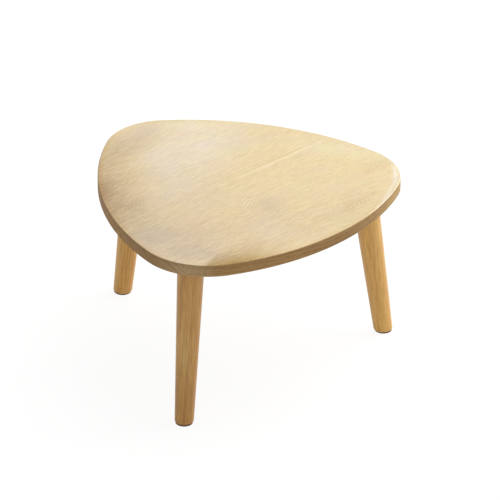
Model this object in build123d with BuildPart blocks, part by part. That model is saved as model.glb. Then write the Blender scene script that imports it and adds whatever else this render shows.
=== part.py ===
from build123d import *
import math
import os

# Triangular coffee table, millimetres, +Z up. The front leg stands towards -Y, the right
# leg towards +X and the back leg to the left. The origin lies on the floor, in the middle
# of the table's footprint.

# Whole table
HEIGHT = 270.0
TOP_THICKNESS = 18.0
FOOT_SPACING = 398.0
SPLAY = 7.7
LEG_NAMES = ["front", "right", "back"]
FRONT_LEG_TURN = -90.0
LEG_STEP = 360.0 / len(LEG_NAMES)

# Outline of the top, one value for each leg in turn: how far the corner reaches out past
# the middle of the foot, how far it turns away from its leg, and how round it is. The
# side radii belong to the bowed side that follows each corner, counterclockwise.
CORNER_OVERHANGS = [22.2, 16.7, 0.7]
CORNER_TURNS = [3.6, -4.2, -2.2]
CORNER_RADII = [103.0, 98.5, 88.5]
SIDE_RADII = [370.0, 420.0, 408.0]
TOP_CHAMFER = 1.2
BOTTOM_CHAMFER = 1.0

# Boards of the top, glued edge to edge, parallel to the side between front and right leg.
# The middle seam lies a little behind the middle of the legs, and the others keep clear of
# the plates' screws. The glued blank is wider than the top by the trim on every side
SEAM_OFFSET = 8.0
SEAM_CLEARANCE = 10.0
BLANK_TRIM = 10.0

# Legs
LEG_TOP_DIAMETER = 39.0
LEG_FOOT_DIAMETER = 27.5
LEG_TOP_CHAMFER = 1.0
FOOT_ROUND = 2.8

# Pressed steel plate that carries a leg
PLATE_SIZE = 52.0
PLATE_CORNER = 8.0
PLATE_THICKNESS = 2.0
DISH_DIAMETER = 32.0
DISH_DEPTH = 11.5
DISH_ROUND = 1.5
PLATE_HOLE_INSET = 6.5
BOLT_HOLE_CLEARANCE = 0.4

# Nut welded into the dish, and the hanger bolt
NUT_ACROSS_FLATS = 13.0
NUT_HEIGHT = 6.5
BOLT_DIAMETER = 8.0
BOLT_CHAMFER = 1.0
BOLT_STICKS_OUT = 0.8
LEG_PILOT_DIAMETER = 6.0
WOOD_THREAD_LENGTH = 32.0
WOOD_THREAD_TIP = 5.0
PILOT_END_GAP = 4.0

# Countersunk wood screws of the plates
SCREW_DIAMETER = 4.0
SCREW_HEAD_DIAMETER = 8.0
SCREW_LENGTH = 14.0
SCREW_TIP = 3.5
SCREW_PILOT_DIAMETER = 2.6
COUNTERSINK_ANGLE = 90.0
RECESS_WIDTH = 1.0
RECESS_SPAN = 4.4
RECESS_DEPTH = 1.2

# Blunt end of a screw, bolt or nail, as a share of its diameter
TIP_SHARE = 0.25

# Glide under each foot, held by a nail
GLIDE_DIAMETER = 25.0
GLIDE_THICKNESS = 2.0
GLIDE_CHAMFER = 0.5
NAIL_DIAMETER = 2.5
NAIL_LENGTH = 16.0
NAIL_TIP = 3.0
NAIL_HEAD_DIAMETER = 6.5
NAIL_HEAD_THICKNESS = 0.8
NAIL_HEAD_RECESS = 1.2

UNDERSIDE = HEIGHT - TOP_THICKNESS
UPRIGHT = (Align.CENTER, Align.CENTER, Align.MIN)
HANGING = (Align.CENTER, Align.CENTER, Align.MAX)

os.makedirs("parts", exist_ok=True)


def direction(turn):
    """Level unit vector at an angle in degrees, counterclockwise from +X."""
    return Vector(math.cos(math.radians(turn)), math.sin(math.radians(turn)))


def side_centre(start, start_radius, end, end_radius, side_radius):
    """Centre of the arc that runs inside both corner circles and touches them."""
    apart = end - start
    from_start = side_radius - start_radius
    from_end = side_radius - end_radius
    along = (from_start**2 - from_end**2 + apart.length**2) / (2 * apart.length)
    across = math.sqrt(from_start**2 - along**2)
    forward = apart.normalized()
    inward = Vector(-forward.Y, forward.X)
    return start + forward * along + inward * across


# Outline of the top about the middle of the legs
foot_circle = FOOT_SPACING / (2 * math.sin(math.radians(LEG_STEP / 2)))
leg_turns = [FRONT_LEG_TURN + LEG_STEP * leg for leg in range(len(LEG_NAMES))]
corner_centres = []
for overhang, radius, leg_turn, turn in zip(CORNER_OVERHANGS, CORNER_RADII, leg_turns, CORNER_TURNS):
    corner_centres.append(direction(leg_turn + turn) * (foot_circle + overhang - radius))

sides = []
for corner, side_radius in enumerate(SIDE_RADII):
    after = (corner + 1) % len(SIDE_RADII)
    start_circle = (corner_centres[corner], CORNER_RADII[corner])
    end_circle = (corner_centres[after], CORNER_RADII[after])
    centre = side_centre(*start_circle, *end_circle, side_radius)
    first = (corner_centres[corner] - centre).normalized()
    last = (corner_centres[after] - centre).normalized()
    halfway = (first + last).normalized()
    sides.append([centre + way * side_radius for way in (first, halfway, last)])

with BuildSketch() as outline:
    with BuildLine():
        for corner, side in enumerate(sides):
            before = sides[corner - 1]
            bulge = (before[-1] + side[0]) * 0.5 - corner_centres[corner]
            tip = corner_centres[corner] + bulge.normalized() * CORNER_RADII[corner]
            ThreePointArc(before[-1], tip, side[0])
            ThreePointArc(*side)
    make_face()

# The floor plane's own origin is the middle of the legs, placed so that the middle of the
# whole footprint, top and feet together, falls on the part's origin
with BuildSketch() as footprint:
    add(outline.sketch)
    with PolarLocations(foot_circle, len(LEG_NAMES), start_angle=FRONT_LEG_TURN):
        Circle(LEG_FOOT_DIAMETER / 2)
middle = footprint.sketch.bounding_box().center()
floor = Plane((-middle.X, -middle.Y, 0))
underside = floor.offset(UNDERSIDE)

# Leg planes: each leg runs down from its seat, square to the plate's sloping face
seat_height = UNDERSIDE - DISH_DEPTH
seat_planes = []
plate_planes = []
foot_planes = []
for leg_turn in leg_turns:
    out = direction(leg_turn)
    lean = math.tan(math.radians(SPLAY))
    seat = floor.origin + out * (foot_circle - seat_height * lean) + Vector(0, 0, seat_height)
    up = (Vector(0, 0, 1) - out * lean).normalized()
    seat_planes.append(Plane(origin=seat, x_dir=out + Vector(0, 0, lean), z_dir=up))
    under = Vector(seat.X, seat.Y, UNDERSIDE)
    plate_planes.append(Plane(origin=under, x_dir=out, z_dir=(0, 0, 1)))
    foot_planes.append(Plane(origin=floor.origin + out * foot_circle, x_dir=out, z_dir=(0, 0, 1)))

screw_pitch = PLATE_SIZE - 2 * PLATE_HOLE_INSET
screw_reach = SCREW_LENGTH - PLATE_THICKNESS

# Whole panel of the top, with the pilot holes of the plates' screws
with BuildPart() as panel:
    with BuildSketch(underside):
        add(outline.sketch)
    extrude(amount=TOP_THICKNESS)
    chamfer(panel.faces().sort_by(Axis.Z)[-1].edges(), length=TOP_CHAMFER)
    chamfer(panel.faces().sort_by(Axis.Z)[0].edges(), length=BOTTOM_CHAMFER)
    for plate_plane in plate_planes:
        with BuildSketch(plate_plane):
            with GridLocations(screw_pitch, screw_pitch, 2, 2):
                Circle(SCREW_PILOT_DIAMETER / 2)
        extrude(amount=screw_reach, mode=Mode.SUBTRACT)

# Seams between the boards, as distances from the middle of the legs towards the back leg
across = direction(leg_turns[-1])
rows = []
for plate_plane in plate_planes:
    plate_middle = (plate_plane.origin - floor.origin).dot(across)
    turned = abs(plate_plane.x_dir.dot(across)) + abs(plate_plane.y_dir.dot(across))
    rows.append((plate_middle - turned * screw_pitch / 2, plate_middle + turned * screw_pitch / 2))
last_seam = rows[-1][0] - SEAM_CLEARANCE
seams = [
    rows[0][0] - SEAM_CLEARANCE,
    rows[0][1] + SEAM_CLEARANCE,
    SEAM_OFFSET,
    (SEAM_OFFSET + last_seam) / 2,
    last_seam,
]

# Boards, numbered from the side between front and right leg to the back corner
blank = outline.sketch.rotate(Axis.Z, -leg_turns[-1]).bounding_box()
blank_plane = Plane(origin=underside.origin, x_dir=across, z_dir=(0, 0, 1))
blank_length = blank.size.Y + 2 * BLANK_TRIM
board_sides = [blank.min.X - BLANK_TRIM, *seams, blank.max.X + BLANK_TRIM]
for number, (near, far) in enumerate(zip(board_sides, board_sides[1:]), start=1):
    with BuildPart() as board:
        add(panel.part)
        with BuildSketch(blank_plane):
            with Locations(((near + far) / 2, blank.center().Y)):
                Rectangle(far - near, blank_length)
        extrude(amount=TOP_THICKNESS, mode=Mode.INTERSECT)
    board.part.label = f"board_{number}"
    export_step(board.part, f"parts/board_{number}.step")

# Leg plates: a flat rim and a dish whose bottom slopes square to the leg
for name, plate_plane, seat_plane in zip(LEG_NAMES, plate_planes, seat_planes):
    with BuildPart() as plate:
        with BuildSketch(seat_plane):
            Circle(DISH_DIAMETER / 2)
        extrude(amount=DISH_DEPTH + DISH_DIAMETER)
        split(bisect_by=plate_plane, keep=Keep.BOTTOM)
        with BuildSketch(plate_plane):
            RectangleRounded(PLATE_SIZE, PLATE_SIZE, PLATE_CORNER)
        extrude(amount=-PLATE_THICKNESS)
        fillet(plate.faces().sort_by(Axis.Z)[0].edges(), radius=DISH_ROUND)
        with BuildSketch(seat_plane.offset(PLATE_THICKNESS)):
            Circle(DISH_DIAMETER / 2 - PLATE_THICKNESS)
        extrude(amount=DISH_DEPTH + DISH_DIAMETER, mode=Mode.SUBTRACT)
        with BuildSketch(seat_plane):
            Circle((BOLT_DIAMETER + BOLT_HOLE_CLEARANCE) / 2)
        extrude(amount=PLATE_THICKNESS, mode=Mode.SUBTRACT)
        rim_face = plate_plane.offset(-PLATE_THICKNESS)
        with Locations(Plane(origin=rim_face.origin, x_dir=rim_face.x_dir, z_dir=-rim_face.z_dir)):
            with GridLocations(screw_pitch, screw_pitch, 2, 2):
                CounterSinkHole(
                    radius=SCREW_DIAMETER / 2,
                    counter_sink_radius=SCREW_HEAD_DIAMETER / 2,
                    depth=PLATE_THICKNESS,
                    counter_sink_angle=COUNTERSINK_ANGLE,
                )
    plate.part.label = f"leg_plate_{name}"
    export_step(plate.part, f"parts/leg_plate_{name}.step")

# Nuts, welded to the inside of each dish
for name, seat_plane in zip(LEG_NAMES, seat_planes):
    with BuildPart() as nut:
        with BuildSketch(seat_plane.offset(PLATE_THICKNESS)):
            RegularPolygon(NUT_ACROSS_FLATS / 2, 6, major_radius=False)
            Circle(BOLT_DIAMETER / 2, mode=Mode.SUBTRACT)
        extrude(amount=NUT_HEIGHT)
    nut.part.label = f"plate_nut_{name}"
    export_step(nut.part, f"parts/plate_nut_{name}.step")

# Hanger bolts: machine thread up through plate and nut, wood thread down into the leg
for name, seat_plane in zip(LEG_NAMES, seat_planes):
    with BuildPart(seat_plane) as hanger_bolt:
        Cylinder(BOLT_DIAMETER / 2, PLATE_THICKNESS + NUT_HEIGHT + BOLT_STICKS_OUT, align=UPRIGHT)
        chamfer(hanger_bolt.faces().sort_by(Axis.Z)[-1].edges(), length=BOLT_CHAMFER)
        Cylinder(BOLT_DIAMETER / 2, WOOD_THREAD_LENGTH - WOOD_THREAD_TIP, align=HANGING)
        with Locations((0, 0, WOOD_THREAD_TIP - WOOD_THREAD_LENGTH)):
            Cone(TIP_SHARE * BOLT_DIAMETER / 2, BOLT_DIAMETER / 2, WOOD_THREAD_TIP, align=HANGING)
    hanger_bolt.part.label = f"hanger_bolt_{name}"
    export_step(hanger_bolt.part, f"parts/hanger_bolt_{name}.step")

# Legs: tapered, square at the seat, level at the foot
leg_length = (seat_height - GLIDE_THICKNESS) / math.cos(math.radians(SPLAY))
taper = (LEG_TOP_DIAMETER - LEG_FOOT_DIAMETER) / leg_length
for name, seat_plane in zip(LEG_NAMES, seat_planes):
    with BuildPart(seat_plane) as leg:
        Cone(
            (LEG_FOOT_DIAMETER - taper * LEG_FOOT_DIAMETER) / 2,
            LEG_TOP_DIAMETER / 2,
            leg_length + LEG_FOOT_DIAMETER,
            align=HANGING,
        )
        chamfer(leg.faces().sort_by(Axis.Z)[-1].edges(), length=LEG_TOP_CHAMFER)
        Hole(radius=LEG_PILOT_DIAMETER / 2, depth=WOOD_THREAD_LENGTH + PILOT_END_GAP)
        split(bisect_by=Plane.XY.offset(GLIDE_THICKNESS), keep=Keep.TOP)
        fillet(leg.faces().sort_by(Axis.Z)[0].edges(), radius=FOOT_ROUND)
    leg.part.label = f"leg_{name}"
    export_step(leg.part, f"parts/leg_{name}.step")

# Countersunk screws of each plate, with a cross recess in each head
head_height = (SCREW_HEAD_DIAMETER - SCREW_DIAMETER) / 2 / math.tan(math.radians(COUNTERSINK_ANGLE / 2))
for name, plate_plane in zip(LEG_NAMES, plate_planes):
    with BuildPart(plate_plane.offset(-PLATE_THICKNESS)) as screws:
        with GridLocations(screw_pitch, screw_pitch, 2, 2):
            Cone(SCREW_HEAD_DIAMETER / 2, SCREW_DIAMETER / 2, head_height, align=UPRIGHT)
            Cylinder(SCREW_DIAMETER / 2, SCREW_LENGTH - SCREW_TIP, align=UPRIGHT)
            Box(RECESS_SPAN, RECESS_WIDTH, RECESS_DEPTH, align=UPRIGHT, mode=Mode.SUBTRACT)
            Box(RECESS_WIDTH, RECESS_SPAN, RECESS_DEPTH, align=UPRIGHT, mode=Mode.SUBTRACT)
        with Locations((0, 0, SCREW_LENGTH - SCREW_TIP)):
            with GridLocations(screw_pitch, screw_pitch, 2, 2):
                Cone(SCREW_DIAMETER / 2, TIP_SHARE * SCREW_DIAMETER / 2, SCREW_TIP, align=UPRIGHT)
    screws.part.label = f"plate_screws_{name}"
    export_step(screws.part, f"parts/plate_screws_{name}.step")

# Glides under the feet, and the nails that hold them
for name, foot_plane in zip(LEG_NAMES, foot_planes):
    with BuildPart(foot_plane) as glide:
        Cylinder(GLIDE_DIAMETER / 2, GLIDE_THICKNESS, align=UPRIGHT)
        chamfer(glide.edges().filter_by(GeomType.CIRCLE), length=GLIDE_CHAMFER)
        Cylinder(NAIL_DIAMETER / 2, GLIDE_THICKNESS, align=UPRIGHT, mode=Mode.SUBTRACT)
        Cylinder(NAIL_HEAD_DIAMETER / 2, NAIL_HEAD_RECESS, align=UPRIGHT, mode=Mode.SUBTRACT)
    glide.part.label = f"glide_{name}"
    export_step(glide.part, f"parts/glide_{name}.step")

    with BuildPart(foot_plane.offset(NAIL_HEAD_RECESS)) as nail:
        Cylinder(NAIL_HEAD_DIAMETER / 2, NAIL_HEAD_THICKNESS, align=HANGING)
        Cylinder(NAIL_DIAMETER / 2, NAIL_LENGTH - NAIL_TIP, align=UPRIGHT)
        with Locations((0, 0, NAIL_LENGTH - NAIL_TIP)):
            Cone(NAIL_DIAMETER / 2, TIP_SHARE * NAIL_DIAMETER / 2, NAIL_TIP, align=UPRIGHT)
    nail.part.label = f"glide_nail_{name}"
    export_step(nail.part, f"parts/glide_nail_{name}.step")
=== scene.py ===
import math

import bpy
from mathutils import Matrix, Quaternion, Vector

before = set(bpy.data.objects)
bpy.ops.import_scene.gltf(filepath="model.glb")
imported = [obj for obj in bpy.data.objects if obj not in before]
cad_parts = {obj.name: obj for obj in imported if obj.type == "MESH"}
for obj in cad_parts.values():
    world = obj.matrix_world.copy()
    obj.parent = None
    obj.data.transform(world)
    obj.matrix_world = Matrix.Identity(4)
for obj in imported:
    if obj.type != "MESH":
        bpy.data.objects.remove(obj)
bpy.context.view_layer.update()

# Lengths are metres and angles are degrees. Along and across are measured on the top from
# the middle of the legs: along the boards' grain, and across it towards the back leg
LEG_MIDDLE = Vector((-0.009492, 0.031282, 0))
GRAIN_TURN = 60.0
LEG_TURNS = {"front": -90.0, "right": 30.0, "back": 150.0}
LEG_SPLAY = 7.7
TOP_LEVEL = 0.270
UNDERSIDE_LEVEL = 0.252

# Camera at the photograph's angle
CAMERA_PLACE = Vector((2.78321, -9.44210, 5.54677))
CAMERA_AIM = Vector((0.01460, 0.04968, 0.15478))
CAMERA_ROLL = 0.325
CAMERA_LENS = 561.48
CAMERA_SENSOR = 36.0
CAMERA_REACH = 100.0


class Graph:
    """Short calls that add nodes to one node tree and link them."""

    def __init__(self, tree):
        self.tree = tree
        tree.nodes.clear()

    def add(self, kind, values=(), out=0, **settings):
        node = self.tree.nodes.new(kind)
        for name, value in settings.items():
            setattr(node, name, value)
        for key, value in dict(values).items():
            if isinstance(value, bpy.types.NodeSocket):
                self.tree.links.new(value, node.inputs[key])
            else:
                node.inputs[key].default_value = value
        return node.outputs[out]

    def math(self, operation, *values, clamp=False):
        return self.add("ShaderNodeMath", enumerate(values), operation=operation, use_clamp=clamp)

    def vector(self, operation, *values):
        return self.add("ShaderNodeVectorMath", enumerate(values), operation=operation)

    def total(self, *values):
        result = values[0]
        for value in values[1:]:
            result = self.math("ADD", result, value)
        return result

    def times(self, *values):
        result = values[0]
        for value in values[1:]:
            result = self.math("MULTIPLY", result, value)
        return result

    def less(self, value, taken):
        return self.math("SUBTRACT", value, taken)

    def highest(self, *values):
        result = values[0]
        for value in values[1:]:
            result = self.math("MAXIMUM", result, value)
        return result

    def swing(self, middle, values, gains):
        """Middle, plus what each value is above or below 0.5 times its gain."""
        parts = [self.times(self.less(value, 0.5), gain) for value, gain in zip(values, gains)]
        return self.total(*parts, middle)

    def waves(self, distance, gap, shift):
        """Sine of a distance, with one wave in each gap."""
        return self.math("SINE", self.total(self.times(distance, 2 * math.pi / gap), shift))

    def split(self, vector):
        node = self.tree.nodes.new("ShaderNodeSeparateXYZ")
        self.tree.links.new(vector, node.inputs[0])
        return node.outputs[0], node.outputs[1], node.outputs[2]

    def here(self):
        return self.add("ShaderNodeTexCoord", out="Object")

    def place(self, vector, scale=(1, 1, 1), rotation=(0, 0, 0)):
        values = {"Vector": vector, "Rotation": rotation, "Scale": scale}
        return self.add("ShaderNodeMapping", values)

    def noise(self, vector, scale=(1, 1, 1), detail=2.0, roughness=0.5, out=0):
        values = {
            "Vector": self.place(vector, scale),
            "Scale": 1.0,
            "Detail": detail,
            "Roughness": roughness,
        }
        return self.add("ShaderNodeTexNoise", values, out)

    def line_noise(self, value, scale, detail, roughness):
        values = {"W": value, "Scale": scale, "Detail": detail, "Roughness": roughness}
        return self.add("ShaderNodeTexNoise", values, noise_dimensions="1D")

    def fit(self, value, low, high, to_low=0.0, to_high=1.0):
        values = {
            "Value": value,
            "From Min": low,
            "From Max": high,
            "To Min": to_low,
            "To Max": to_high,
        }
        return self.add("ShaderNodeMapRange", values, interpolation_type="SMOOTHSTEP")

    def blend(self, share, first, second, mode="MIX"):
        values = {0: share, 6: first, 7: second}
        return self.add("ShaderNodeMix", values, 2, data_type="RGBA", blend_type=mode)

    def graded(self, tone, dark, light):
        """Dark where tone is 0 or less, and light where it is 1 or more."""
        return self.blend(self.math("ADD", tone, 0.0, clamp=True), dark, light)

    def tint(self, share, colour, shade):
        """Colour with its red, green and blue times the shade's, as far as share says."""
        return self.blend(share, colour, self.blend(1.0, colour, (*shade, 1.0), "MULTIPLY"))

    def bump(self, height, strength, distance):
        values = {"Height": height, "Strength": strength, "Distance": distance}
        return self.add("ShaderNodeBump", values)

    def surface(self, **values):
        inputs = {name.replace("_", " "): value for name, value in values.items()}
        self.shown(self.add("ShaderNodeBsdfPrincipled", inputs))

    def shown(self, shader, kind="ShaderNodeOutputMaterial"):
        node = self.tree.nodes.new(kind)
        self.tree.links.new(shader, node.inputs[0])


def linear(red, green, blue):
    """Scene colour of a colour that is given as a screen shows it, 0 to 255."""
    shares = [value / 255 for value in (red, green, blue)]
    return [s / 12.92 if s < 0.04045 else ((s + 0.055) / 1.055) ** 2.4 for s in shares] + [1.0]


def heading(turn):
    """Level direction, counterclockwise from +X."""
    return Vector((math.cos(math.radians(turn)), math.sin(math.radians(turn)), 0))


def new_material(name):
    material = bpy.data.materials.new(name)
    material.use_nodes = True
    return material, Graph(material.node_tree)


def oval(g, along, across, x, y, length, width, turn):
    """Soft oval spot, 1 at its middle, with the distances along and from its long axis."""
    cos, sin = math.cos(math.radians(turn)), math.sin(math.radians(turn))
    du = g.less(along, x)
    dv = g.less(across, y)
    ahead = g.total(g.times(du, cos), g.times(dv, sin))
    aside = g.total(g.times(dv, cos), g.times(du, -sin))
    far = g.total(
        g.math("POWER", g.math("ABSOLUTE", g.times(ahead, 1 / length)), 2.0),
        g.math("POWER", g.math("ABSOLUTE", g.times(aside, 1 / width)), 2.0),
    )
    return g.math("EXPONENT", g.times(far, -1.0)), ahead, aside


def spots(g, along, across, reach, rows):
    """Soft oval, its two distances and the row's own values, for each row that shows on a
    board. A row is (along, across, half length, half width, turn, own values)."""
    near, far = reach
    for x, y, length, width, turn, *values in rows:
        if near - 2 * length < y < far + 2 * length:
            yield *oval(g, along, across, x, y, length, width, turn), values


def slanted(g, along, across):
    """Distance across, measured from the slant of the ochre patch."""
    return g.total(across, g.times(along, -PATCH_SLANT))


def from_side(g, along, across, middle_along, middle_across, radius):
    """Distance from the arc of one side of the top, inwards."""
    du = g.less(along, middle_along)
    dv = g.less(across, middle_across)
    return g.less(radius, g.math("SQRT", g.total(g.times(du, du), g.times(dv, dv))))


# Patterns of the wood. Rates are waves in a metre, along the grain and across it. A fade is
# (start, end), or (start, end, value at the start, value at the end)
TOP_GRAIN = {"ring_rate": 170.0, "wave": 0.014, "wave_rate": 8, "fibre_rate": 42}
LEG_GRAIN = {"ring_rate": 420.0, "wave": 0.005, "wave_rate": 3.5, "fibre_rate": 20}
SEED_STEPS = (1.37, 0.71, 0.53)
WAVE_STRETCH = 3
RIPPLE_RATES = (40, 90, 90)
RIPPLE_SHARE = 0.2
COARSE_RATE = 340
FINE_RATE = 820
PORE_RATES = (150, 1900, 1900)
PORE_FADE = (0.12, 0.36, 1.0, 0.0)
PORE_RING_FADE = (0.40, 0.62)
NOISE_MIDDLE = (0.5, 0.5, 0.5)

# Relief of coarse and fine fibres as shares of the pores' depth, and the roughness that
# coarse fibres and pores add
COARSE_RELIEF = 0.5
FINE_RELIEF = 0.3
PORE_DEPTH = 0.0002
FIBRE_ROUGHNESS = 0.15
PORE_ROUGHNESS = 0.2


def sway(g, point, rates, reach):
    """Shift across the grain by a noise."""
    shift = g.vector("SUBTRACT", g.noise(point, rates, out="Color"), NOISE_MIDDLE)
    return g.vector("MULTIPLY", shift, (0, reach, reach))


def wood_grain(g, point, seed, pith, slope, ring_rate, wave, wave_rate, fibre_rate):
    """Rings, coarse fibres, fine fibres and pores of solid wood with its grain along X."""
    start = [seed * step for step in SEED_STEPS]
    moved = g.vector("ADD", point, start)
    wave_rates = (wave_rate, WAVE_STRETCH * wave_rate, WAVE_STRETCH * wave_rate)
    bent = g.vector("ADD", moved, sway(g, moved, wave_rates, wave))
    bent = g.vector("ADD", bent, sway(g, moved, RIPPLE_RATES, wave * RIPPLE_SHARE))
    x, y, z = g.split(bent)
    side = g.less(y, pith[0] + start[1])
    deep = g.less(z, pith[1] + start[2])
    radius = g.math("SQRT", g.total(g.times(side, side), g.times(deep, deep)))
    radius = g.total(radius, g.times(x, slope))
    rings = g.line_noise(radius, ring_rate, 3.0, 0.6)
    coarse = g.noise(bent, (fibre_rate, COARSE_RATE, COARSE_RATE), 3.0, 0.6)
    fine = g.noise(bent, (2 * fibre_rate, FINE_RATE, FINE_RATE), 3.0, 0.6)
    cells = g.add("ShaderNodeTexVoronoi", {"Vector": g.place(bent, PORE_RATES), "Scale": 1.0})
    pores = g.times(g.fit(cells, *PORE_FADE), g.fit(rings, *PORE_RING_FADE))
    return rings, coarse, fine, pores


def wood_surface(g, colour, grain, roughness, bump):
    """Finished wood, whose pores lie deeper and are rougher than its fibres."""
    _, coarse, fine, pores = grain
    relief = g.total(g.times(coarse, COARSE_RELIEF), g.times(fine, FINE_RELIEF))
    relief = g.total(relief, g.times(pores, -1.0))
    rough = g.swing(roughness, [coarse], [FIBRE_ROUGHNESS])
    rough = g.total(rough, g.times(pores, PORE_ROUGHNESS))
    g.surface(Base_Color=colour, Roughness=rough, Normal=g.bump(relief, bump, PORE_DEPTH))


# Curled grain of the top: short pale strokes, as (along, across, half length, half width, turn)
CURLS = [
    (-0.076, -0.021, 0.011, 0.010, 24),
    (-0.052, 0.178, 0.010, 0.009, 20),
    (-0.124, 0.105, 0.012, 0.008, 20),
    (-0.023, -0.063, 0.011, 0.011, 26),
    (0.077, -0.092, 0.012, 0.009, 26),
    (-0.146, 0.062, 0.010, 0.007, 18),
    (0.124, -0.188, 0.010, 0.007, 30),
]
STROKE_GAP = 0.0052
STROKE_PALE = linear(255, 246, 222)
STROKE_PALE_FADE = (0.2, 1.0)
STROKE_PALE_SHARE = 0.55
STROKE_DARK = linear(200, 172, 124)
STROKE_DARK_FADE = (-0.1, -0.9)
STROKE_DARK_SHARE = 0.35

# Tips of flame figure, as (along, across, half length, half width, turn, curve)
FLAMES = [
    (0.078, -0.170, 0.034, 0.016, 4, 260),
    (0.188, -0.104, 0.024, 0.013, 12, 300),
    (-0.150, 0.048, 0.026, 0.014, 8, 300),
]
FLAME_GAP = 0.0085
FLAME_FADE = (-0.2, 0.9)
FLAME_DEPTH = -0.8

# Noises that bend the strokes and flames, break up the strokes, and cloud and tint the face
WANDER_RATES = (90, 90, 90)
WANDER_REACH = 6.0
BREAK_RATES = (110, 220, 220)
BREAK_FADE = (0.38, 0.56)
CLOUD_RATES = (16, 24, 24)
CLOUD_FADE = (0.45, 0.75, 0.0, 0.3)
HUE_RATES = (22, 40, 40)
HUE_FADE = (0.3, 0.7)
HUE_ALONG_FADE = (-0.10, 0.08, 0.45, 1.0)

# How fibres and clouds break up the broad spots of tone and painted light
STREAKY_FADE = (0.5, 1.0, 1.18, 0.82)
CLOUDY_FADE = (0.25, 0.7, 0.8, 1.15)

# Broad spots of the top, as (along, across, half length, half width, turn, red, green, blue)
# They are partly the wood's blotchy tone and partly painted light: most darker spots at the left
# and front are painted shade, and the pale bluish ones are a painted reflection haze
TONE_AND_PAINTED_LIGHT = [
    (-0.140, 0.115, 0.110, 0.045, 52, 0.70, 0.64, 0.61),
    (-0.160, 0.096, 0.095, 0.014, 56, 0.80, 0.73, 0.66),
    (-0.010, 0.185, 0.060, 0.026, 14, 0.84, 0.81, 0.83),
    (0.050, 0.115, 0.080, 0.052, 30, 1.03, 1.10, 1.42),
    (-0.030, 0.125, 0.040, 0.035, 30, 1.02, 1.06, 1.18),
    (-0.060, 0.050, 0.060, 0.045, 30, 0.95, 0.98, 1.14),
    (-0.185, -0.070, 0.090, 0.070, 100, 0.80, 0.80, 0.95),
    (-0.100, -0.165, 0.050, 0.020, -22, 0.93, 0.89, 0.86),
    (-0.008, -0.091, 0.034, 0.022, 60, 0.90, 0.92, 0.98),
    (-0.055, -0.130, 0.035, 0.022, 50, 1.02, 1.04, 1.12),
    (-0.060, -0.110, 0.080, 0.050, -30, 0.94, 0.93, 0.935),
    (-0.183, 0.032, 0.050, 0.040, 60, 0.82, 0.81, 0.78),
    (-0.048, 0.190, 0.026, 0.018, 48, 0.88, 0.89, 0.88),
    (0.078, 0.172, 0.065, 0.016, -40, 1.05, 1.07, 1.12),
    (-0.177, -0.130, 0.028, 0.017, -43, 0.92, 0.93, 0.98),
    (0.018, 0.186, 0.045, 0.035, -20, 1.04, 1.07, 1.18),
    (-0.080, -0.190, 0.045, 0.040, 0, 1.07, 1.10, 1.13),
    (0.190, -0.040, 0.075, 0.022, -61, 1.02, 1.09, 1.16),
    (-0.055, -0.010, 0.055, 0.040, 0, 0.955, 0.965, 0.98),
    (0.040, -0.180, 0.120, 0.050, 0, 0.94, 0.935, 0.945),
]

# Ochre patch inside the front corner, which ends at a sharp slanting side
PATCH = (-0.168, -0.180, 0.070, 0.033, -21, 0.58, 0.455, 0.20)
PATCH_SLANT = 0.286
PATCH_FADE = (-0.101, -0.093, 1.0, 0.0)

# Even spots: a painted highlight as a pale band inside the right corner, and the streaks at the
# seam that shows
HIGHLIGHT_AND_SEAM_BANDS = [
    (0.196, -0.138, 0.028, 0.0045, 46, 1.10, 1.24, 1.65),
    (0.150, -0.173, 0.035, 0.0030, 31, 1.08, 1.18, 1.45),
    (0.110, -0.193, 0.030, 0.0022, 22, 1.05, 1.12, 1.30),
    (0.100, 0.0035, 0.095, 0.0036, 0, 1.06, 1.10, 1.18),
    (0.100, 0.0098, 0.095, 0.0022, 0, 0.94, 0.92, 0.88),
]

# Spots of painted light on the edge of the top: painted shade at the left and front, a painted
# highlight at the right corner; and the grey haze there that the patch's slant cuts off
EDGE_PAINTED_LIGHT = [
    (-0.155, 0.100, 0.130, 0.060, 56, 0.86, 0.80, 0.74),
    (-0.238, -0.060, 0.060, 0.030, 97, 0.84, 0.84, 0.94),
    (0.010, -0.220, 0.060, 0.030, 0, 0.84, 0.80, 0.78),
    (0.165, -0.190, 0.070, 0.035, 44, 1.28, 1.50, 1.80),
]
HAZE = (-0.219, -0.135, 0.038, 0.030, 120, 1.29, 1.52, 2.30)
HAZE_FADE = (-0.113, -0.107)

# Arcs of the two sides that face the camera, as (middle along, middle across, radius), and
# the warm border of the top inside them
SIDE_ARCS = [(-0.0051, 0.1565, 0.370), (0.1776, -0.1273, 0.408)]
BORDER_FADE = (0.001, 0.011, 1.0, 0.0)
BORDER_ALONG_FADE = (0.06, 0.16, 1.0, 0.0)
BORDER_SHADE = (0.97, 0.90, 0.78)

# Edge, underside and rim of the top, by height
EDGE_FADE = (TOP_LEVEL - 0.0016, TOP_LEVEL - 0.0006, 1.0, 0.0)
UNDERSIDE_FADE = (UNDERSIDE_LEVEL + 0.0002, UNDERSIDE_LEVEL + 0.0008, 0.6, 0.0)
# Painted shadow: a dark line along the top of the edge, just under the rim
UNDER_RIM_SHADOW_FADE = (TOP_LEVEL - 0.0055, TOP_LEVEL - 0.0025)
UNDER_RIM_SHADOW = (0.86, 0.84, 0.82)

# Eased arris above the edge: a painted highlight at the right corner, painted shade round the
# front one
EASE_FADE = (TOP_LEVEL - 0.0006, TOP_LEVEL - 0.0001, 1.0, 0.0)
EASE_HIGHLIGHT = linear(252, 240, 212)
EASE_HIGHLIGHT_ACROSS_FADE = (-0.10, 0.02, 0.6, 0.0)
EASE_HIGHLIGHT_ALONG_FADE = (0.04, 0.12)
EASE_SHADE = linear(150, 116, 70)
EASE_SHADE_ALONG_FADE = (-0.02, 0.10, 0.9, 0.0)

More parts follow.
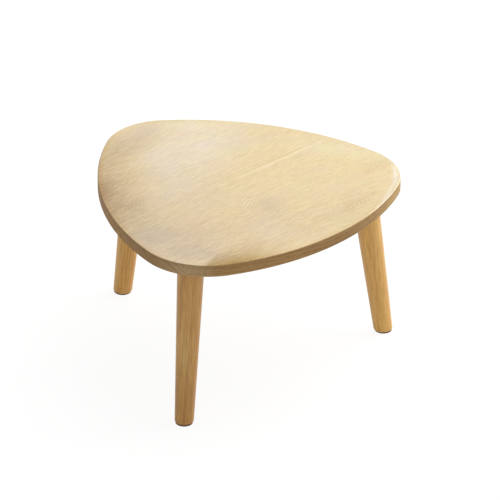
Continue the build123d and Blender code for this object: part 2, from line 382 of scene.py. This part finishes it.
# Glue line, by the distance from a board's side
SEAM_FADE = (0.0001, 0.0006, 0.18, 0.0)
GLUE_LINE = linear(160, 128, 84)

# Roughness and relief of the lacquered face, and how much rougher the edge is
FACE_ROUGHNESS = 0.46
FACE_BUMP = 0.25
EDGE_ROUGHER = 0.2

# Contrast of rings, coarse fibres and fine fibres, and the woods' dark and light
FACE_GAINS = (0.5, 1.2, 1.4)
EDGE_GAINS = (1.6, 1.2, 0.6)
LEG_GAINS = (1.7, 2.0, 1.4)
LIGHT_WOOD = linear(245, 225, 185)
DARK_WOOD = linear(218, 194, 149)
CLOUD_WOOD = linear(222, 206, 178)
PINKISH = (1.0, 0.988, 0.99, 1.0)
GREENISH = (0.995, 1.022, 0.94, 1.0)
EDGE_LIGHT = linear(188, 149, 90)
EDGE_DARK = linear(148, 110, 61)
TOP_PORES = linear(150, 116, 74)
TOP_PORE_SHARE = 0.30
LEG_LIGHT = linear(241, 191, 110)
LEG_DARK = linear(204, 148, 74)
LEG_STREAK = linear(228, 188, 128)
LEG_PORES = linear(126, 80, 36)
LEG_PORE_SHARE = 0.55


def face_figure(g, point, along, across, reach, grain):
    """Wood of the top's face with its flames, clouds and curls, and the clouds' noise."""
    wander = g.times(g.less(g.noise(point, WANDER_RATES), 0.5), WANDER_REACH)
    broken = g.fit(g.noise(point, BREAK_RATES), *BREAK_FADE)
    tone = g.swing(0.5, grain[:3], FACE_GAINS)
    for spot, ahead, aside, (curve,) in spots(g, along, across, reach, FLAMES):
        wave = g.waves(g.total(ahead, g.times(aside, aside, curve)), FLAME_GAP, wander)
        tone = g.total(tone, g.times(spot, g.fit(wave, *FLAME_FADE), FLAME_DEPTH))
    colour = g.graded(tone, DARK_WOOD, LIGHT_WOOD)
    cloud = g.noise(point, CLOUD_RATES, 3.0, 0.55)
    colour = g.blend(g.fit(cloud, *CLOUD_FADE), colour, CLOUD_WOOD)
    hue = g.fit(g.noise(point, HUE_RATES), *HUE_FADE)
    hue = g.times(hue, g.fit(along, *HUE_ALONG_FADE))
    colour = g.blend(1.0, colour, g.blend(hue, PINKISH, GREENISH), "MULTIPLY")
    for spot, _, aside, _ in spots(g, along, across, reach, CURLS):
        wave = g.waves(aside, STROKE_GAP, wander)
        stroke = g.times(spot, g.fit(wave, *STROKE_PALE_FADE), broken)
        colour = g.blend(g.times(stroke, STROKE_PALE_SHARE), colour, STROKE_PALE)
        stroke = g.times(spot, g.fit(wave, *STROKE_DARK_FADE), broken)
        colour = g.blend(g.times(stroke, STROKE_DARK_SHARE), colour, STROKE_DARK)
    return colour, cloud


def face_colour(g, point, along, across, height, reach, grain):
    """Colour of the top's face and its eased arris, with painted shade, painted highlights and a
    painted reflection haze.
    """
    _, coarse, fine, _ = grain
    colour, cloud = face_figure(g, point, along, across, reach, grain)
    streaky = g.fit(g.total(coarse, g.times(fine, 0.5)), *STREAKY_FADE)
    cloudy = g.fit(cloud, *CLOUDY_FADE)
    # Spots of tone and of painted light: painted shade and a painted reflection haze
    for spot, _, _, shade in spots(g, along, across, reach, TONE_AND_PAINTED_LIGHT):
        colour = g.tint(g.times(spot, cloudy, streaky), colour, shade)
    for spot, _, _, shade in spots(g, along, across, reach, [PATCH]):
        inside = g.fit(slanted(g, along, across), *PATCH_FADE)
        colour = g.tint(g.times(inside, spot, streaky), colour, shade)
    # Painted highlight in a band inside the right corner, and the seam's streaks
    for spot, _, _, shade in spots(g, along, across, reach, HIGHLIGHT_AND_SEAM_BANDS):
        colour = g.tint(spot, colour, shade)
    seam = g.math("MINIMUM", g.less(across, reach[0]), g.less(reach[1], across))
    colour = g.blend(g.fit(seam, *SEAM_FADE), colour, GLUE_LINE)
    border = g.math("MINIMUM", *[from_side(g, along, across, *arc) for arc in SIDE_ARCS])
    warm = g.times(g.fit(border, *BORDER_FADE), g.fit(along, *BORDER_ALONG_FADE))
    colour = g.tint(warm, colour, BORDER_SHADE)
    # Painted highlight on the arris at the right corner, and painted shade on it round the front
    ease = g.fit(height, *EASE_FADE)
    pale = g.times(ease, g.fit(across, *EASE_HIGHLIGHT_ACROSS_FADE))
    pale = g.times(pale, g.fit(along, *EASE_HIGHLIGHT_ALONG_FADE))
    dark = g.times(ease, g.fit(along, *EASE_SHADE_ALONG_FADE))
    return g.blend(dark, g.blend(pale, colour, EASE_HIGHLIGHT), EASE_SHADE)


def edge_colour(g, along, across, height, reach, grain):
    """Darker wood of the top's edge, with painted shade, a painted highlight and a painted shadow
    under the rim.
    """
    colour = g.graded(g.swing(0.5, grain[:3], EDGE_GAINS), EDGE_DARK, EDGE_LIGHT)
    # Painted shade at the left and front of the edge, and a painted highlight at the right corner
    for spot, _, _, shade in spots(g, along, across, reach, EDGE_PAINTED_LIGHT):
        colour = g.tint(spot, colour, shade)
    for spot, _, _, shade in spots(g, along, across, reach, [HAZE]):
        beside = g.fit(slanted(g, along, across), *HAZE_FADE)
        colour = g.tint(g.times(beside, spot), colour, shade)
    # Painted shadow line along the top of the edge, under the rim
    return g.tint(g.fit(height, *UNDER_RIM_SHADOW_FADE), colour, UNDER_RIM_SHADOW)


def top_wood(name, reach, seed, pith, slope):
    """Lacquered pale wood of one board, which lies across from reach[0] to reach[1]."""
    material, g = new_material(name)
    point = g.vector("SUBTRACT", g.here(), LEG_MIDDLE)
    point = g.place(point, rotation=(0, 0, -math.radians(GRAIN_TURN)))
    along, across, height = g.split(point)
    grain = wood_grain(g, point, seed, pith, slope, **TOP_GRAIN)
    face = face_colour(g, point, along, across, height, reach, grain)
    edge = edge_colour(g, along, across, height, reach, grain)
    on_edge = g.less(g.fit(height, *EDGE_FADE), g.fit(height, *UNDERSIDE_FADE))
    colour = g.blend(on_edge, face, edge)
    colour = g.blend(g.times(grain[3], TOP_PORE_SHARE), colour, TOP_PORES)
    roughness = g.total(FACE_ROUGHNESS, g.times(on_edge, EDGE_ROUGHER))
    wood_surface(g, colour, grain, roughness, FACE_BUMP)
    return material


# Looks of the legs. A leg's grain is measured from a point this far out on the floor, and so is
# the painted highlight streak in the front leg: along the leg and sideways
LEG_OUT = 0.2
LEG_ROUGHNESS = 0.42
LEG_BUMP = 0.3
LEG_STREAK_RATES = (5, 90, 90)
LEG_STREAK_FADE = (0.45, 0.75, 0.0, 0.35)
LEG_SLOPE = 0.004
LEG_PITHS = {"front": (0.05, 0.03), "right": (-0.02, 0.06), "back": (0.03, -0.05)}
# Each leg's tint is partly tone and partly painted light: the front leg darker as painted shade,
# the right one lighter as painted light
LEG_TONE_AND_LIGHT = {"front": (0.86, 0.84, 0.83), "right": (1.04, 1.07, 1.02), "back": (1.0, 0.96, 0.79)}
# Painted shade darkening the front leg towards its foot
FOOT_PAINTED_SHADE = {"front": (0.84, 0.78, 0.68), "right": (1.0, 1.0, 1.0), "back": (1.0, 1.0, 1.0)}
FOOT_SHADE_FADE = (0.0, 0.17, 1.0, 0.0)
SHEEN_STREAKS = {"front": (0.104, 0.0, 0.042, 0.0055, 0)}
SHEEN_STREAK_SHADE = (1.11, 1.27, 1.55)


def leg_wood(leg, seed):
    """Oiled honey-coloured wood of one leg, with its grain along the leg, and with painted light
    and shade in its tint.
    """
    material, g = new_material(f"leg_wood_{leg}")
    out = heading(LEG_TURNS[leg])
    splay = math.radians(LEG_SPLAY)
    axis = Vector((0, 0, math.cos(splay))) - out * math.sin(splay)
    side = axis.cross(out).normalized()
    turned = Matrix((axis, side, axis.cross(side))).to_euler("XYZ")
    here = g.vector("SUBTRACT", g.here(), LEG_MIDDLE + out * LEG_OUT)
    point = g.place(here, rotation=turned)
    grain = wood_grain(g, point, seed, LEG_PITHS[leg], LEG_SLOPE, **LEG_GRAIN)
    colour = g.graded(g.swing(0.5, grain[:3], LEG_GAINS), LEG_DARK, LEG_LIGHT)
    streak = g.noise(point, LEG_STREAK_RATES)
    colour = g.blend(g.fit(streak, *LEG_STREAK_FADE), colour, LEG_STREAK)
    colour = g.blend(g.times(grain[3], LEG_PORE_SHARE), colour, LEG_PORES)
    # Tint of each leg, partly painted light and shade
    colour = g.blend(1.0, colour, (*LEG_TONE_AND_LIGHT[leg], 1.0), "MULTIPLY")
    # Painted shade towards the front leg's foot
    low = g.fit(g.split(here)[2], *FOOT_SHADE_FADE)
    colour = g.tint(low, colour, FOOT_PAINTED_SHADE[leg])
    # Painted highlight: a pale sheen streak down the front leg
    if leg in SHEEN_STREAKS:
        spot = oval(g, *g.split(point)[:2], *SHEEN_STREAKS[leg])[0]
        colour = g.tint(spot, colour, SHEEN_STREAK_SHADE)
    wood_surface(g, colour, grain, LEG_ROUGHNESS, LEG_BUMP)
    return material


def powder_coat(name):
    """Black powder coat of the pressed plates, with fine orange peel."""
    material, g = new_material(name)
    here = g.here()
    peel = g.noise(here, (900, 900, 900), 2.0, 0.6)
    dust = g.noise(here, (60, 60, 60), 3.0, 0.6)
    g.surface(
        Base_Color=g.blend(g.fit(dust, 0.4, 0.75), linear(38, 38, 41), linear(58, 57, 58)),
        Roughness=g.fit(dust, 0.3, 0.8, 0.42, 0.6),
        Normal=g.bump(peel, 0.35, 0.0003),
    )
    return material


def zinc(name):
    """Zinc-plated steel with a faint mottled passivation."""
    material, g = new_material(name)
    here = g.here()
    mottle = g.noise(here, (400, 400, 400), 3.0, 0.6)
    scratch = g.noise(here, (300, 2500, 300), 2.0, 0.6)
    g.surface(
        Base_Color=g.blend(g.fit(mottle, 0.35, 0.7), linear(186, 186, 184), linear(204, 202, 190)),
        Metallic=1.0,
        Roughness=g.fit(scratch, 0.3, 0.7, 0.24, 0.42),
        Normal=g.bump(scratch, 0.2, 0.0001),
    )
    return material


def nylon(name):
    """Brown moulded nylon, scuffed where it slides."""
    material, g = new_material(name)
    here = g.here()
    speckle = g.noise(here, (1200, 1200, 1200), 2.0, 0.6)
    scuff = g.noise(here, (150, 600, 150), 3.0, 0.7)
    low = g.fit(g.split(here)[2], 0.0002, 0.001, 1.0, 0.0)
    worn = g.times(g.fit(scuff, 0.45, 0.7), low)
    colour = g.blend(speckle, linear(104, 84, 62), linear(122, 100, 76))
    g.surface(
        Base_Color=g.blend(g.times(worn, 0.6), colour, linear(150, 132, 108)),
        Roughness=g.fit(scuff, 0.3, 0.7, 0.45, 0.65),
        Normal=g.bump(speckle, 0.25, 0.0002),
    )
    return material


def dress(node, material):
    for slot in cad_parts[node].material_slots:
        slot.material = material


# Boards: their sides are read from the model, and each has its own heart of the tree
PITHS = [(-0.172, 0.10), (-0.02, 0.10), (0.13, 0.06), (-0.12, 0.08), (0.10, 0.05), (0.25, 0.05)]
SLOPES = [0.018, 0.012, 0.006, -0.008, 0.010, -0.014]
BOARD_SEED = 3.1
across_way = heading(GRAIN_TURN + 90)
for number, (pith, slope) in enumerate(zip(PITHS, SLOPES), start=1):
    board = f"board_{number}"
    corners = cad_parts[board].data.vertices
    places = [(corner.co - LEG_MIDDLE).dot(across_way) for corner in corners]
    reach = (min(places), max(places))
    dress(board, top_wood(f"top_wood_{number}", reach, BOARD_SEED * number, pith, slope))

LEG_SEED = 5.3
for number, leg in enumerate(LEG_TURNS, start=1):
    dress(f"leg_{leg}", leg_wood(leg, LEG_SEED * number))

black = powder_coat("plate_black")
steel = zinc("zinc_steel")
brown = nylon("glide_nylon")
for leg in LEG_TURNS:
    dress(f"leg_plate_{leg}", black)
    dress(f"glide_{leg}", brown)
    for fastener in ("plate_nut", "hanger_bolt", "plate_screws", "glide_nail"):
        dress(f"{fastener}_{leg}", steel)

# Floor: lights the table as a pale floor does. To the camera it is a dim floor with a glow,
# which is white but keeps the table's shadow, and from below it isn't seen
FLOOR_HALF = 20.0
FLOOR_PALE = (linear(236, 236, 236), linear(240, 240, 240))
FLOOR_DIM = (linear(104, 104, 104), linear(108, 108, 108))
FLOOR_SPECK_RATES = (40, 40, 40)
FLOOR_GLOW = 0.90
mesh = bpy.data.meshes.new("floor")
corners = [(-1, -1), (1, -1), (1, 1), (-1, 1)]
mesh.from_pydata([(x * FLOOR_HALF, y * FLOOR_HALF, 0) for x, y in corners], [], [(0, 1, 2, 3)])
floor = bpy.data.objects.new("floor", mesh)
bpy.context.scene.collection.objects.link(floor)
material, g = new_material("pale_floor")
rays = g.add("ShaderNodeLightPath").node.outputs
seen = g.highest(rays["Is Camera Ray"], rays["Is Glossy Ray"], rays["Is Transmission Ray"])
speck = g.noise(g.here(), FLOOR_SPECK_RATES, 3.0)
shade = g.blend(seen, g.blend(speck, *FLOOR_PALE), g.blend(speck, *FLOOR_DIM))
body = g.add("ShaderNodeBsdfDiffuse", {"Color": shade})
glow_values = {"Color": (1, 1, 1, 1), "Strength": g.times(seen, FLOOR_GLOW)}
glow = g.add("ShaderNodeEmission", glow_values)
shader = g.add("ShaderNodeAddShader", {0: body, 1: glow})
clear = g.add("ShaderNodeBsdfTransparent")
backside = g.add("ShaderNodeNewGeometry", out="Backfacing")
g.shown(g.add("ShaderNodeMixShader", {0: backside, 1: shader, 2: clear}))
mesh.materials.append(material)

# Light: a soft room that is white to the camera, and two lamps on the right and behind, one
# high and one low. Lamps are (name, azimuth, elevation, distance, size, power, colour)
ROOM_LIGHT = 0.45
ROOM_SEEN = 0.55
ROOM_SHINE = 0.25
LAMP_AIM = Vector((0, 0, 0.2))
LAMPS = [
    ("key", 55, 64, 2.6, 2.6, 46, (1.0, 0.98, 0.95)),
    ("side", 42, 17, 2.4, 1.9, 22, (1.0, 0.97, 0.92)),
]
world = bpy.data.worlds.new("room")
world.use_nodes = True
bpy.context.scene.world = world
g = Graph(world.node_tree)
rays = g.add("ShaderNodeLightPath").node.outputs
seen = g.highest(rays["Is Camera Ray"], rays["Is Transmission Ray"])
shine = g.times(rays["Is Glossy Ray"], ROOM_SHINE)
strength = g.total(g.times(seen, ROOM_SEEN), shine, ROOM_LIGHT)
g.shown(g.add("ShaderNodeBackground", {0: (1, 1, 1, 1), 1: strength}), "ShaderNodeOutputWorld")


def turned_object(name, data, place, rotation):
    thing = bpy.data.objects.new(name, data)
    thing.location = place
    thing.rotation_mode = "QUATERNION"
    thing.rotation_quaternion = rotation
    bpy.context.scene.collection.objects.link(thing)
    return thing


def aimed(way):
    """Turn of a lamp or camera that looks along way and keeps upright."""
    return way.to_track_quat("-Z", "Y")


for name, azimuth, elevation, distance, size, power, colour in LAMPS:
    data = bpy.data.lights.new(name, "AREA")
    data.shape = "SQUARE"
    data.size = size
    data.energy = power
    data.color = colour
    rise = math.radians(elevation)
    way = heading(azimuth) * math.cos(rise) + Vector((0, 0, math.sin(rise)))
    turned_object(name, data, LAMP_AIM + way * distance, aimed(-way))

# Camera
data = bpy.data.cameras.new("camera")
data.sensor_width = CAMERA_SENSOR
data.lens = CAMERA_LENS
data.clip_end = CAMERA_REACH
roll = Quaternion((0, 0, 1), math.radians(CAMERA_ROLL))
turn = aimed(CAMERA_AIM - CAMERA_PLACE) @ roll
bpy.context.scene.camera = turned_object("camera", data, CAMERA_PLACE, turn)
bpy.context.scene.view_settings.view_transform = "Standard"
